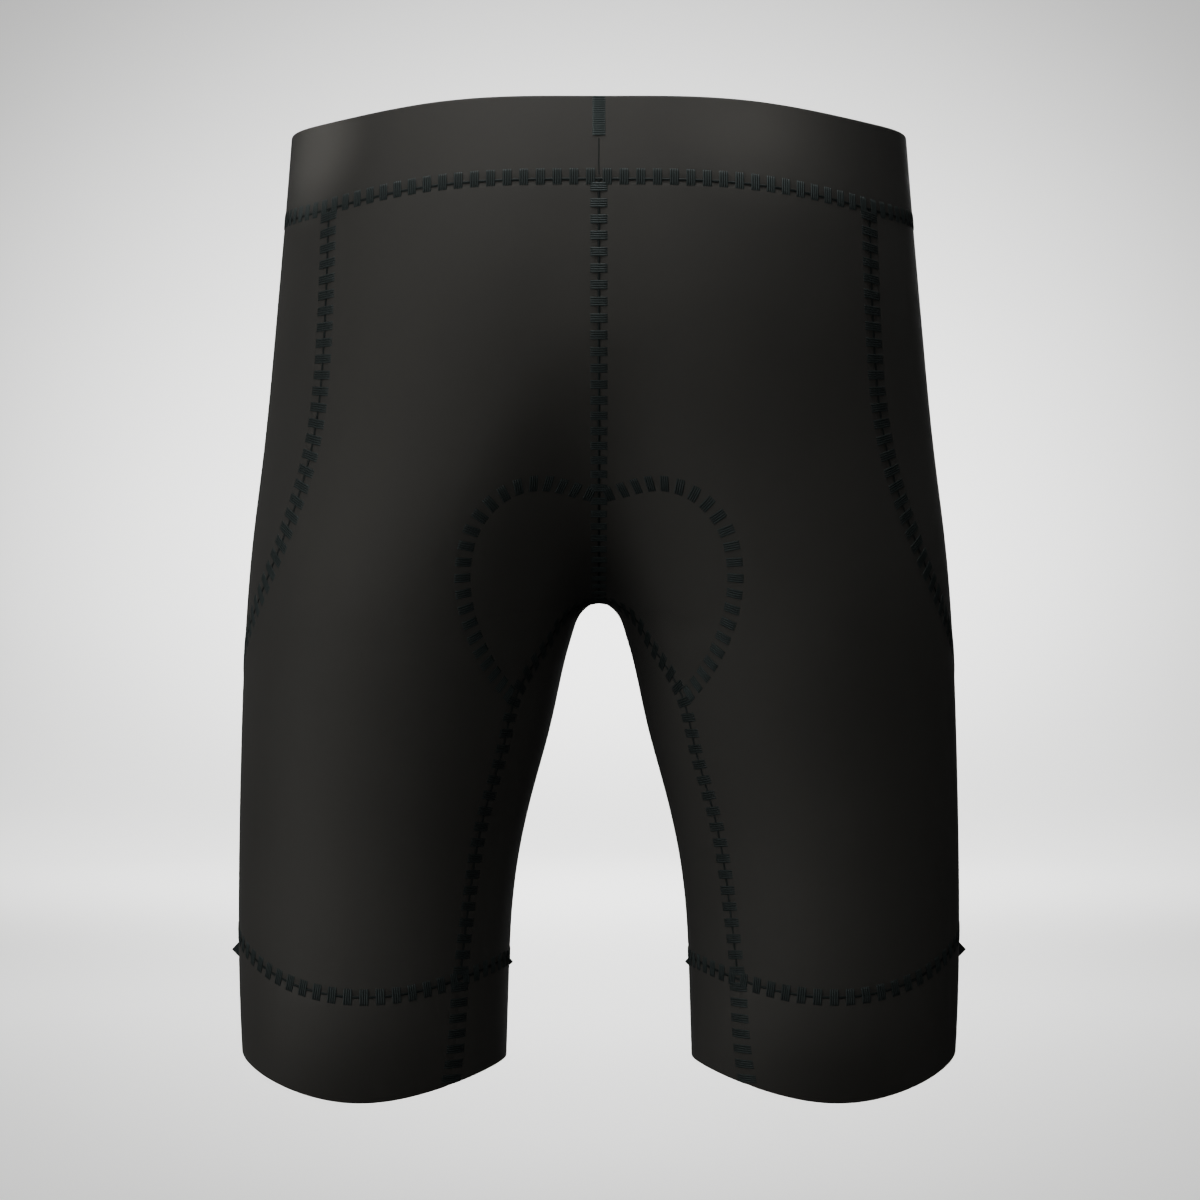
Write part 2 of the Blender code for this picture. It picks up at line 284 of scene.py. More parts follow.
SideSeam = namedtuple("SideSeam", "height aside")
SIDE_SEAM = [
    SideSeam(INSERT_TIP, 0.0000),
    SideSeam(-0.250, 0.0242),
    SideSeam(-0.230, 0.0473),
    SideSeam(-0.200, 0.0664),
    SideSeam(-0.171, 0.0746),
    SideSeam(-0.133, 0.0782),
    SideSeam(-0.088, 0.0758),
    SideSeam(-0.040, 0.0675),
]

Inseam = namedtuple("Inseam", "height behind")
INSEAM = [
    Inseam(-0.480, 0.0500),
    Inseam(-0.420, 0.0554),
    Inseam(-0.370, 0.0543),
    Inseam(-0.330, 0.0556),
    Inseam(-0.300, 0.0566),
    Inseam(-0.265, 0.0536),
    Inseam(-0.247, 0.0400),
    Inseam(-0.236, 0.0289),
]

WaistLine = namedtuple("WaistLine", "turn edge seam")
WAIST_LINE = [
    WaistLine(-100, 0.0036, -0.0364),
    WaistLine(-60, 0.0023, -0.0392),
    WaistLine(-30, -0.0022, -0.0456),
    WaistLine(0, -0.0018, -0.0448),
    WaistLine(30, -0.0062, -0.0470),
    WaistLine(60, -0.0098, -0.0500),
    WaistLine(100, -0.0120, -0.0525),
]

HemLine = namedtuple("HemLine", "outside inside back_dip front_dip shift")
HEM_SEAM = HemLine(-0.3917, -0.4063, 0.0188, 0.0080, 9)
HEM_EDGE = HemLine(-0.4527, -0.4565, 0.0158, 0.0060, 5.4)
DIP_POWER = 2.3

waist_edge_at = curve(WAIST_LINE, "edge")
waist_seam_at = curve(WAIST_LINE, "seam")
print("side insert ends in mm:", 1000 * INSERT_TIP)

# %% [markdown]
# The rows and columns of a piece crowd together near its seams, where the cloth dips under
# the thread. In the middle of a panel, cells of about 3 mm are fine enough for such smooth
# cloth. A grid can't end in a point, so one row of the side seams is taken for the lower
# corners of the side insert, and its lower edge follows both seams from there to the tip.

# %% How finely each piece is divided
BODY_ROWS = 96
LEG_ROWS = 60
CORNER_ROW = 60
BACK_COLUMNS = 60
FRONT_COLUMNS = 96
STRAIGHT_SHARE = 0.25
ROW_CROWDING = 1.5
SETTLING_ROUNDS = 6
CLOSE_SHARES = np.array([0.0022, 0.0050, 0.0085, 0.0130])
CLOSE_END = 0.015


def crowded(count, start=True, end=True):
    """Shares from 0 to 1, evenly spread but for a few more near the ends."""
    shares = np.linspace(0, 1, count + 1)
    if start:
        shares = np.concatenate([[0], CLOSE_SHARES, shares[shares > CLOSE_END]])
    if end:
        shares = shares[shares < 1 - CLOSE_END]
        shares = np.concatenate([shares, 1 - CLOSE_SHARES[::-1], [1]])
    return shares


body_shares = crowded(BODY_ROWS, end=False)
leg_shares = crowded(LEG_ROWS, start=False)[1:]
corner = CORNER_ROW + len(body_shares) - 1 - BODY_ROWS
print("rows of a panel:", len(body_shares) + len(leg_shares))

# %% [markdown]
# Some places on the form are known by their height and how far behind or in front they lie,
# and their turn has to be worked out. The hems are level rings with two dips, behind and in
# front, and both dips lie a few degrees nearer the outside of the leg.

# %% Turns and heights of the seams


def turn_of(height, y, outwards):
    """The turn at which the form lies y before or behind the middle of the leg."""
    half = half_section(height)
    share = np.sqrt(np.maximum(1 - (y / depth_at(height, y < 0)) ** 2, 0))
    return np.arctan2(y, half.outwards * share if outwards else -half.inwards * share)


def middle_turn(height, side):
    """The turn at which the form meets the middle plane, behind (-1) or in front (1)."""
    half = half_section(height)
    y = side * depth_at(height, side < 0) * np.sqrt(1 - narrowing(height) ** 2)
    return np.arctan2(y, half.ease - half.centre)


def hem_height(line, turn):
    """The height of the hem edge or the hem-band seam at a turn."""
    level = (line.outside + line.inside) / 2 + (line.outside - line.inside) / 2 * np.cos(turn)
    shift = math.radians(line.shift)
    behind = np.maximum(-np.sin(turn - shift), 0) ** DIP_POWER
    before = np.maximum(np.sin(turn + shift), 0) ** DIP_POWER
    return level - line.back_dip * behind - line.front_dip * before


def fork():
    """The turn and height where the seat seam and the inseams meet."""
    height = CROTCH + CROTCH_RISE * (1 - math.cos(FORK_TURN))
    return float(middle_turn(height, -1)), height


print("fork in mm:", np.round(1000 * form(*fork()), 1))

# %% [markdown]
# The seat seam and the front seam run down the middle and swing round the crotch in a U.
# The inseam goes on from their fork, down the inside of the leg.

# %% Seams in the middle and inside the leg


def lengths_along(points):
    """How far each point lies along a line of points."""
    steps = np.linalg.norm(np.diff(points, axis=0), axis=-1)
    return np.concatenate([np.zeros_like(steps[:1]), np.cumsum(steps, axis=0)])


def middle_seam(side):
    """The seam in the middle plane, from the waistband down to the fork."""
    top = float(waist_seam_at(90 * side))
    straight_end = CROTCH + CROTCH_RISE
    straight = top + (straight_end - top) * body_shares / STRAIGHT_SHARE
    swing_end = FORK_TURN if side < 0 else -FORK_TURN
    round_share = (body_shares - STRAIGHT_SHARE) / (1 - STRAIGHT_SHARE)
    swing = math.pi / 2 + (swing_end - math.pi / 2) * round_share
    curved = CROTCH + CROTCH_RISE * (1 - np.cos(swing))
    height = np.where(body_shares < STRAIGHT_SHARE, straight, curved)
    turn = middle_turn(height, side)
    past_the_bottom = (swing < 0) & (body_shares > STRAIGHT_SHARE)
    turn = np.where(past_the_bottom, middle_turn(height, -side) + 2 * math.pi, turn)
    return np.stack([turn, height], axis=-1)


def inseam(side):
    """The inside leg seam, from the fork down to the hem band."""
    fork_turn, fork_height = fork()
    first = form(fork_turn, fork_height)
    rows = sorted(INSEAM + [Inseam(fork_height, -float(first[1]))])
    behind_at = curve(rows, "behind")
    end = HEM_SEAM.inside
    for _ in range(SETTLING_ROUNDS):
        end = float(hem_height(HEM_SEAM, turn_of(end, -behind_at(end), False)))
    height = fork_height + (end - fork_height) * leg_shares**ROW_CROWDING
    turn = turn_of(height, -behind_at(height), False)
    turn = turn if side < 0 else turn + 2 * math.pi
    return np.stack([turn, height], axis=-1)


print("seat seam in mm:", round(1000 * lengths_along(form_of(middle_seam(-1)))[-1]))
print("inseam in mm:", round(1000 * lengths_along(form_of(inseam(-1)))[-1]))

# %% [markdown]
# The two side seams close on the point of the insert, and one seam goes on from there down
# the outside of the leg. The front one copies the back one, scaled to the depth in front.

# %% Seams at the side
INSERT_TOP_TURN = 30


def side_seam(side):
    """The seam between a panel and the side insert, from the waistband down to its tip."""
    aside_at = curve(SIDE_SEAM, "aside")
    start = float(waist_seam_at(INSERT_TOP_TURN * side))
    height = start + (INSERT_TIP - start) * body_shares
    depth = 1.0 if side < 0 else front_at(height) / back_at(height)
    turn = turn_of(height, side * aside_at(height) * depth, True)
    height[0] = waist_seam_at(math.degrees(turn[0]))
    return np.stack([turn, height], axis=-1)


def outside_leg():
    """The single seam down the outside of the leg, from the insert's tip to the hem band."""
    height = INSERT_TIP + (hem_height(HEM_SEAM, 0) - INSERT_TIP) * leg_shares
    return np.stack([np.zeros_like(height), height], axis=-1)


print("side seam in mm:", round(1000 * lengths_along(form_of(side_seam(-1)))[-1]))

# %% [markdown]
# A Coons patch fills the map between four edges: it blends the left edge into the right one
# and adds what the top and bottom edges have of their own. That gives each piece a grid
# whose border is exactly its seams.

# %% The map of each piece


def line_between(start, end, shares, height_at):
    """An edge that runs round the form from one turn to another at given heights."""
    turn = start + (end - start) * shares
    return np.stack([turn, height_at(turn)], axis=-1)


def patch(top, bottom, left, right, shares, bend=0):
    """The map between four edges. Its rows bend down early (1) or late (-1) from the left."""
    across = np.stack([shares, shares + bend * shares * (1 - shares)], axis=-1)[None]
    down = np.linspace(0, 1, len(left))[:, None, None]
    corners_top = (1 - across) * top[0] + across * top[-1]
    corners_bottom = (1 - across) * bottom[0] + across * bottom[-1]
    sides = (1 - across) * left[:, None] + across * right[:, None]
    ends = (1 - down) * (top - corners_top) + down * (bottom - corners_bottom)
    return sides + ends


def waist_seam_line(turn):
    """The height of the waistband's seam, where the turn isn't in degrees."""
    return waist_seam_at(np.degrees(turn))


def hem_seam_line(turn):
    """The height of the hem band's seam."""
    return hem_height(HEM_SEAM, turn)


def panel_map(side):
    """The map of the back (-1) or front (1) panel of the right half."""
    left = np.concatenate([middle_seam(side), inseam(side)])
    right = np.concatenate([side_seam(side), outside_leg()])
    shares = crowded(BACK_COLUMNS if side < 0 else FRONT_COLUMNS)
    top = line_between(left[0, 0], right[0, 0], shares, waist_seam_line)
    bottom = line_between(left[-1, 0], right[-1, 0], shares, hem_seam_line)
    return patch(top, bottom, left, right, shares, bend=side)


def insert_map():
    """The map of the right side insert, whose lower edge follows both seams to the tip."""
    back = side_seam(-1)
    front = side_seam(1)
    bottom = np.concatenate([back[corner:], front[corner:-1][::-1]])
    shares = np.linspace(0, 1, len(bottom))
    top = line_between(back[0, 0], front[0, 0], shares, waist_seam_line)
    return patch(top, bottom, back[: corner + 1], front[: corner + 1], shares)


charts = {"back": panel_map(-1), "front": panel_map(1), "side": insert_map()}
for name, chart in charts.items():
    print(name, "grid:", chart.shape[:2])

# %% [markdown]
# The waistband and the hem bands are strips, so their grid is a few rounds of the same turns
# as the seam they are sewn to. Their rounds crowd together at the free edge too, because the
# cloth is folded over elastic there and its edge is round.

# %% The map of the bands
FOLD_SHARES = np.array([0.0, 0.004, 0.010, 0.018, 0.030, 0.050, 0.085])
EVEN_SHARES = np.linspace(0.14, 0.90, 11)
SEAM_SHARES = [0.95, 0.975, 0.99, 1.0]
BAND_SHARES = np.concatenate([FOLD_SHARES, EVEN_SHARES, SEAM_SHARES])


def waistband_points():
    """Points of the waistband from the join at the centre back right round and back to it."""
    back, side, front = charts["back"][0], charts["side"][0], charts["front"][0]
    turns = np.concatenate([back[:, 0], side[1:-1, 0], front[::-1, 0]])
    edge = waist_edge_at(np.degrees(turns))
    heights = edge + (waist_seam_line(turns) - edge) * BAND_SHARES[:, None]
    turns = np.broadcast_to(turns, heights.shape).copy()
    turns[:, 0] = middle_turn(heights[:, 0], -1)
    turns[:, -1] = middle_turn(heights[:, -1], 1)
    right_half = form(turns, heights)
    left_half = right_half[:, -2::-1] * (-1, 1, 1)
    return np.concatenate([right_half, left_half], axis=1)


def hem_band_points():
    """Points of the right hem band, from the inseam round the leg and back to it."""
    back, front = charts["back"][-1], charts["front"][-1]
    turns = np.concatenate([back[:, 0], front[-2::-1, 0]])
    edge = hem_height(HEM_EDGE, turns)
    heights = edge + (hem_height(HEM_SEAM, turns) - edge) * BAND_SHARES[:, None]
    return form(turns, heights)


print("waist in mm:", round(1000 * lengths_along(waistband_points()[0])[-1]))
print("hem in mm:", round(1000 * lengths_along(hem_band_points()[0])[-1]))

# %% [markdown]
# ## Thin shells of cloth
# A shell has the outer face on the form, an inner face one wall further in, and a border that
# joins them. The outer face dips a little towards each seam, where the thread pulls the two
# edges together, and rolls over at a folded edge. Displacement in the material could fake the
# dip, but then the outline and the mesh itself would miss it.

# %% How the outer face dips and rolls
WALLS = {"panel": 0.0016, "band": 0.0022}
SEAM_DIP = 0.00032
SEAM_SOFTNESS = 0.0021
FOLD_RADIUS = 0.0010
FOLD_LIMIT = 0.97 * FOLD_RADIUS
PAD_LINE_DIP = 0.00022
PAD_LINE_SOFTNESS = 0.0026

Distances = namedtuple("Distances", "left right top bottom")


def distances_in(points):
    """How far each point of a grid lies from its four borders, along the cloth."""
    across = lengths_along(points.swapaxes(0, 1)).swapaxes(0, 1)
    down = lengths_along(points)
    return Distances(across, across[:, -1:] - across, down, down[-1:] - down)


def seam_dip(distance):
    """How far the outer face dips at this distance from a seam."""
    return SEAM_DIP * np.exp(-((distance / SEAM_SOFTNESS) ** 2))


def fold_roll(distance):
    """How far a face has rolled in at this distance from a folded edge."""
    short = np.clip(FOLD_RADIUS - distance, 0, FOLD_LIMIT)
    return FOLD_RADIUS - np.sqrt(FOLD_RADIUS**2 - short**2)


print("dip at a seam in mm:", 1000 * seam_dip(0.0))
print("dip 3 mm away in mm:", round(1000 * seam_dip(0.003), 2))

# %% [markdown]
# The seat pad itself is hidden inside, but the line of stitches that holds it shows as two
# round lobes. The line is kept as a few points across and up on the right half, and is
# laid on the form by looking for the cloth straight behind each point.

# %% The line that holds the seat pad
PadLine = namedtuple("PadLine", "aside height")
Along = namedtuple("Along", "share aside height")
PAD_LINE = [
    PadLine(0.0010, -0.1812),
    PadLine(0.0110, -0.1787),
    PadLine(0.0248, -0.1759),
    PadLine(0.0390, -0.1785),
    PadLine(0.0510, -0.1868),
    PadLine(0.0595, -0.1996),
    PadLine(0.0628, -0.2130),
    PadLine(0.0632, -0.2240),
    PadLine(0.0608, -0.2385),
    PadLine(0.0562, -0.2520),
    PadLine(0.0490, -0.2655),
    PadLine(0.0410, -0.2765),
]


def behind(aside, height):
    """The point of the back of the form that lies this far from the middle."""
    across, wide = reach_at(aside, height)
    y = -back_at(height) * np.sqrt(np.maximum(1 - (across / wide) ** 2, 0))
    return np.stack([aside, y, height], axis=-1)


def pad_line_points(count=240):
    """Points along the right lobe, from the seat seam round to the inseam."""
    flat = np.array(PAD_LINE)
    far = lengths_along(flat)
    rows = [Along(share, *place) for share, place in zip(far / far[-1], flat)]
    shares = np.linspace(0, 1, count)
    return behind(curve(rows, "aside")(shares), curve(rows, "height")(shares))


pad_line = pad_line_points()
pad_tree = kdtree.KDTree(len(pad_line))
for index, place in enumerate(pad_line):
    pad_tree.insert(Vector(place), index)
pad_tree.balance()
print("pad line in mm:", round(1000 * lengths_along(pad_line)[-1]))

# %% [markdown]
# A bmesh is only the shape while it is being worked on. A mesh keeps it, and an object puts
# the mesh in the scene. Smooth shading hides the facets, but a sharp fold has to keep its
# edge, so folds above a certain angle are marked sharp.

# %% From a shape to a piece of the shorts
CLOTH_CREASE = 50
THREAD_CREASE = 80


def smooth_mesh(name, shape):
    """Turns the shape into a mesh with smooth shading."""
    mesh = bpy.data.meshes.new(name)
    shape.to_mesh(mesh)
    shape.free()
    mesh.shade_smooth()
    return mesh


def finished(name, shape, crease=CLOTH_CREASE):
    """The shape as an object that moves with the shorts."""
    mesh = smooth_mesh(name, shape)
    mesh.set_sharp_from_angle(angle=math.radians(crease))
    piece = placed(name, mesh)
    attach(piece, "root")
    return piece


print("folds of the cloth look sharp from", CLOTH_CREASE, "degrees up")

# %% [markdown]
# Each piece starts as a flat grid, whose points are then put on the form, and an extrusion
# gives it the second face and the border. The grid also carries the cloth's own
# coordinates in metres, so the knit keeps its size on every piece.

# %% Making a shell


def lay_out(cloth, place, points):
    """Gives the cloth its own coordinates: metres across the piece and metres down it."""
    distances = distances_in(points)
    middle = distances.left - distances.left.mean(axis=1, keepdims=True)
    flat = np.stack([middle, distances.top], axis=-1).reshape(-1, 2)
    layer = cloth.loops.layers.uv.new("cloth")
    for face in cloth.faces:
        for loop in face.loops:
            loop[layer].uv = flat[loop.vert[place]]


def shell(name, points, wall, dip, roll, side):
    """A closed thin shell: its outer face lies on the form but for its dips and rolls."""
    points = points * (side, 1, 1)
    out = outwards_at(points)
    outer = (points - out * (dip + roll)[..., None]).reshape(-1, 3)
    inner = (points - out * (wall - roll)[..., None]).reshape(-1, 3)
    rows, columns = points.shape[:2]
    cloth = bmesh.new()
    bmesh.ops.create_grid(cloth, x_segments=columns - 1, y_segments=rows - 1, size=1)
    place = cloth.verts.layers.int.new("place")
    for index, vertex in enumerate(cloth.verts):
        vertex[place] = index
        vertex.co = outer[index]
    doubled = bmesh.ops.extrude_face_region(cloth, geom=cloth.faces[:], use_keep_orig=True)
    for item in doubled["geom"]:
        if isinstance(item, bmesh.types.BMVert):
            item.co = inner[item[place]]
    bmesh.ops.recalc_face_normals(cloth, faces=cloth.faces[:])
    if cloth.calc_volume(signed=True) < 0:
        bmesh.ops.reverse_faces(cloth, faces=cloth.faces[:])
    lay_out(cloth, place, points)
    return finished(name, cloth)


print("points of the grid for a back panel:", charts["back"][..., 0].size)

# %% [markdown]
# The panels have a seam on every side. The bands have one seam, a join at their ends and one
# folded edge. The back panels also dip along the line that holds the pad. The join of the
# waistband is a finer seam, which dips half as deep over half the width.

# %% The nine pieces of cloth
HANDS = {"right": 1, "left": -1}


def panel(name, chart):
    """The points of a panel, and how far each dips towards a line of stitches."""
    points = form_of(chart)
    nearest = np.min(distances_in(points), axis=0)
    dip = seam_dip(nearest)
    if name == "back":
        away = np.array([pad_tree.find(Vector(place))[2] for place in points.reshape(-1, 3)])
        away = away.reshape(dip.shape)
        dip = dip + PAD_LINE_DIP * np.exp(-((away / PAD_LINE_SOFTNESS) ** 2))
    return points, dip


def sewn(node, kind, points, dip, roll, side=1):
    """The shell that stands for a node of the solids, with the wall of its kind; the solid is
    hidden.
    """
    piece = shell(node + "_cloth", points, WALLS[kind], dip, roll, side)
    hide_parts(node)
    return piece


cloth_pieces = {}
for hand, side in HANDS.items():
    for kind, chart in charts.items():
        points, dip = panel(kind, chart)
        node = f"{kind}_{hand}"
        cloth_pieces[node] = sewn(node, "panel", points, dip, np.zeros_like(dip), side)
    points = hem_band_points()
    far = distances_in(points)
    dip = seam_dip(np.minimum(far.bottom, np.minimum(far.left, far.right)))
    node = f"hem_band_{hand}"
    cloth_pieces[node] = sewn(node, "band", points, dip, fold_roll(far.top), side)

points = waistband_points()
far = distances_in(points)
dip = seam_dip(far.bottom) + seam_dip(2 * np.minimum(far.left, far.right)) / 2
cloth_pieces["waistband"] = sewn("waistband", "band", points, dip, fold_roll(far.top))
for node, piece in cloth_pieces.items():
    print(node, len(piece.data.polygons), "faces")

# %% [markdown]
# The knit is cut smaller than the form and stretched onto it, more round the body than
# along it. The cut of each piece is its size on the form divided by those stretches.

# %% The size each piece is cut to
STRETCH_ROUND = 1.12
STRETCH_ALONG = 1.04


def face_area(piece):
    """One face of the cloth: half of the closed shell."""
    return sum(polygon.area for polygon in piece.data.polygons) / 2


def declare_cut(piece, points):
    """Says what size a piece is cut to, before it is stretched over the form."""
    far = distances_in(points)
    width = float(far.left[:, -1].max()) / STRETCH_ROUND
    length = float(far.top[-1].max()) / STRETCH_ALONG
    area = face_area(piece) / (STRETCH_ROUND * STRETCH_ALONG)
    size = f"{1000 * width:.0f} by {1000 * length:.0f} mm"
    print(piece.name, "is cut", size, "and", round(area, 4), "m2 large")


for hand in HANDS:
    for kind, chart in charts.items():
        declare_cut(cloth_pieces[f"{kind}_{hand}"], form_of(chart))
    declare_cut(cloth_pieces[f"hem_band_{hand}"], hem_band_points())
declare_cut(cloth_pieces["waistband"], waistband_points())

# %% [markdown]
# ## Stitches
# The seams are flatlock: the edges butt together, groups of threads cross them like the rungs
# of a ladder, and a cord of looped thread runs along the middle. One thread is modelled
# once, as a tube with a few rings, and copied in a row by doubling. Then every copy is
# bent to its own place on the cloth. That is quicker than two thousand separate objects.

# %% One thread, and a row of copies of it
ThreadRing = namedtuple("ThreadRing", "share lift girth")
THREAD_RINGS = [
    ThreadRing(-0.500, -0.90, 0.70),
    ThreadRing(-0.450, -0.10, 0.95),
    ThreadRing(-0.300, 0.10, 1.00),
    ThreadRing(0.000, 0.16, 1.00),
    ThreadRing(0.300, 0.10, 1.00),
    ThreadRing(0.450, -0.10, 0.95),
    ThreadRing(0.500, -0.90, 0.70),
]
THREAD_SPANS = len(THREAD_RINGS) - 1
THREAD_SIDES = 6
COPY_STEP = 4.0


def straight_thread():
    """One closed tube from z = 0 to 1, cut into even rings, of radius 1."""
    thread = bmesh.new()
    tube = {"segments": THREAD_SIDES, "radius1": 1, "radius2": 1, "depth": 1}
    bmesh.ops.create_cone(thread, cap_ends=True, **tube)
    bmesh.ops.translate(thread, verts=thread.verts[:], vec=(0, 0, 0.5))
    for cut in range(1, THREAD_SPANS):
        whole = thread.verts[:] + thread.edges[:] + thread.faces[:]
        level = (0, 0, cut / THREAD_SPANS)
        bmesh.ops.bisect_plane(thread, geom=whole, plane_co=level, plane_no=(0, 0, 1))
    return thread


def row_of_copies(shape, count):
    """Doubles the shape along X until there are enough copies, and drops the rest."""
    made = 1
    while made < count:
        whole = shape.verts[:] + shape.edges[:] + shape.faces[:]
        copies = bmesh.ops.duplicate(shape, geom=whole)["geom"]
        moved = [item for item in copies if isinstance(item, bmesh.types.BMVert)]
        bmesh.ops.translate(shape, verts=moved, vec=(COPY_STEP * made, 0, 0))
        made *= 2
    extra = [vertex for vertex in shape.verts if vertex.co.x > COPY_STEP * (count - 0.5)]
    bmesh.ops.delete(shape, geom=extra, context="VERTS")
    return shape


print("faces of one thread:", len(straight_thread().faces))

# %% [markdown]
# A thread lies across the seam. Its rings are first put on a straight line, then settled on
# the form and lifted by half a thread, and its two ends go down into the cloth. Where the
# three directions are those of a left hand, the tube comes out inside out, so its faces are
# turned round.

# %% Laying threads on the cloth
THREAD_RADIUS = 0.00052
THREAD_FLATNESS = 0.45


def lay_threads(name, centres, across, along, length, arches=0.0):
    """Threads through these centres, each with its own directions across and along the seam."""
    arches = np.broadcast_to(arches, len(centres))[:, None]
    shares = np.array([ring.share for ring in THREAD_RINGS])
    lift = np.array([ring.lift for ring in THREAD_RINGS])
    girth = np.array([ring.girth for ring in THREAD_RINGS])
    middles = settled(centres[:, None] + across[:, None] * (shares * length)[:, None])
    out = outwards_at(middles)
    height = THREAD_RADIUS * lift + arches * (1 - abs(2 * shares))
    middles = middles + out * height[..., None]
    row = row_of_copies(straight_thread(), len(centres))
    local = np.array([vertex.co for vertex in row.verts])
    copy = np.rint(local[:, 0] / COPY_STEP).astype(int)
    ring = np.rint(local[:, 2] * THREAD_SPANS).astype(int)
    beside = (local[:, 0] - COPY_STEP * copy) * girth[ring] * THREAD_RADIUS
    above = local[:, 1] * girth[ring] * THREAD_RADIUS * THREAD_FLATNESS
    places = middles[copy, ring] + along[copy] * beside[:, None] + out[copy, ring] * above[:, None]
    for vertex, spot in zip(row.verts, places):
        vertex.co = spot
    if np.linalg.det([along[0], out[0, 0], across[0]]) < 0:
        bmesh.ops.reverse_faces(row, faces=row.faces[:])
    return finished(name, row, THREAD_CREASE)


print("a thread's width in mm:", round(2000 * THREAD_RADIUS, 2))

# %% [markdown]
# The rungs are 7.7 mm apart and mostly 8.5 mm wide, and each has four threads side by side.
# Their places are found by walking along the seam at an even pace, and their direction by
# looking a little way ahead and back from each place.

# %% Rungs along a seam
RUNG_PITCH = 0.0077
RUNG_LENGTH = 0.0085
THREADS_IN_RUNG = 4
THREAD_PITCH = 0.00108
THREAD_OFFSETS = (np.arange(THREADS_IN_RUNG) - (THREADS_IN_RUNG - 1) / 2) * THREAD_PITCH
LOOK_AROUND = 0.0015

Walk = namedtuple("Walk", "places along across out")


def walked(points, pitch, start=0.5):
    """Even steps along a line on the cloth, with the directions at each."""
    far = lengths_along(points)
    count = max(2, round(far[-1] / pitch))
    wanted = (np.arange(count) + start) * far[-1] / count

    def at(distance):
        return np.stack([np.interp(distance, far, points[:, i]) for i in range(3)], axis=-1)

    places = settled(at(wanted))
    out = outwards_at(places)
    along = at(wanted + LOOK_AROUND) - at(wanted - LOOK_AROUND)
    along -= out * np.sum(along * out, axis=-1, keepdims=True)
    along /= np.linalg.norm(along, axis=-1, keepdims=True)
    return Walk(places, along, np.cross(out, along), out)


def rungs(name, points, length=RUNG_LENGTH, raised=0.0):
    """Groups of threads across a seam, or a little above it."""
    walk = walked(points, RUNG_PITCH)
    centres = walk.places[:, None] + walk.along[:, None] * THREAD_OFFSETS[:, None]
    centres = centres + np.array([0, 0, raised])
    across = np.repeat(walk.across, THREADS_IN_RUNG, axis=0)
    along = np.repeat(walk.along, THREADS_IN_RUNG, axis=0)
    return lay_threads(name, centres.reshape(-1, 3), across, along, length)


print("rungs round the waist:", len(walked(waistband_points()[-1], RUNG_PITCH).places))

# %% [markdown]
# The cord along the middle is one tube. A grid of six columns is rolled round the line, its
# edges are merged and its ends are filled, and a line that comes back to its start closes.
# The thread's loops make it swell and narrow twice in each rung.

# %% The cord along a seam
CORD_RADIUS = 0.00058
CORD_LIFT = -0.00012
CORD_FLATNESS = 0.5
CORD_STEP = 0.0020
CORD_SIDES = 6
CORD_SWELL = 0.16
SWELLS_IN_RUNG = 2
SAME_PLACE = 1e-6


def cord(name, points, radius=CORD_RADIUS):
    """One tube of looped thread along a line on the cloth."""
    walk = walked(points, CORD_STEP, start=0.0)
    count = len(walk.places)
    closed = np.linalg.norm(points[0] - points[-1]) < SAME_PLACE
    rings = count + 1 if closed else count
    rolled = bmesh.new()
    bmesh.ops.create_grid(rolled, x_segments=CORD_SIDES, y_segments=rings - 1, size=1)
    angle = np.linspace(0, 2 * math.pi, CORD_SIDES + 1)
    ring = np.arange(rings) % count
    swells = np.arange(rings) * CORD_STEP / RUNG_PITCH * SWELLS_IN_RUNG
    wave = 1 + CORD_SWELL * np.cos(2 * math.pi * swells)
    beside = walk.across[ring][:, None] * np.cos(angle)[:, None] * wave[:, None, None]
    above = walk.out[ring][:, None] * np.sin(angle)[:, None] * CORD_FLATNESS
    lifted = walk.places[ring] + walk.out[ring] * CORD_LIFT
    places = lifted[:, None] + (beside + above) * radius
    for vertex, spot in zip(rolled.verts, places.reshape(-1, 3)):
        vertex.co = spot
    bmesh.ops.remove_doubles(rolled, verts=rolled.verts[:], dist=SAME_PLACE)
    bmesh.ops.holes_fill(rolled, edges=[edge for edge in rolled.edges if edge.is_boundary])
    bmesh.ops.recalc_face_normals(rolled, faces=rolled.faces[:])
    return finished(name, rolled, THREAD_CREASE)


print("the cord's width in mm:", round(2000 * CORD_RADIUS, 2))

# %% [markdown]
# Now every seam gets its rungs and its cord. The rungs along the side inserts are half as
# wide again as the rest, and those of the inseam a quarter wider. Those of the waist sit
# mostly on the waistband. The stitches down the outside of the leg run on 10 mm past the
# seam of the hem band.

# %% Sew every seam
WIDE_RUNGS = {"side_back": 0.0130, "side_front": 0.0130, "inseam": 0.0106}
WAIST_RAISE = 0.0013
LEG_OVERRUN = 0.0100
waist_line = waistband_points()[-1]
hem_line = hem_band_points()[-1]
back_middle = form_of(middle_seam(-1))
front_middle = form_of(middle_seam(1))
leg_end = [[0, hem_height(HEM_SEAM, 0) - LEG_OVERRUN]]
leg_line = form_of(np.concatenate([side_seam(-1)[-1:], outside_leg(), leg_end]))
inseam_line = form_of(np.concatenate([[fork()], inseam(-1)]))
flatlocked = {"waist": waist_line, "seat": back_middle, "front": front_middle}
for hand, side in HANDS.items():
    turned = (side, 1, 1)
    flatlocked[f"side_back_{hand}"] = form_of(side_seam(-1)) * turned
    flatlocked[f"side_front_{hand}"] = form_of(side_seam(1)) * turned
    flatlocked[f"outside_leg_{hand}"] = leg_line * turned
    flatlocked[f"inseam_{hand}"] = inseam_line * turned
    flatlocked[f"hem_{hand}"] = hem_line * turned
threads = []
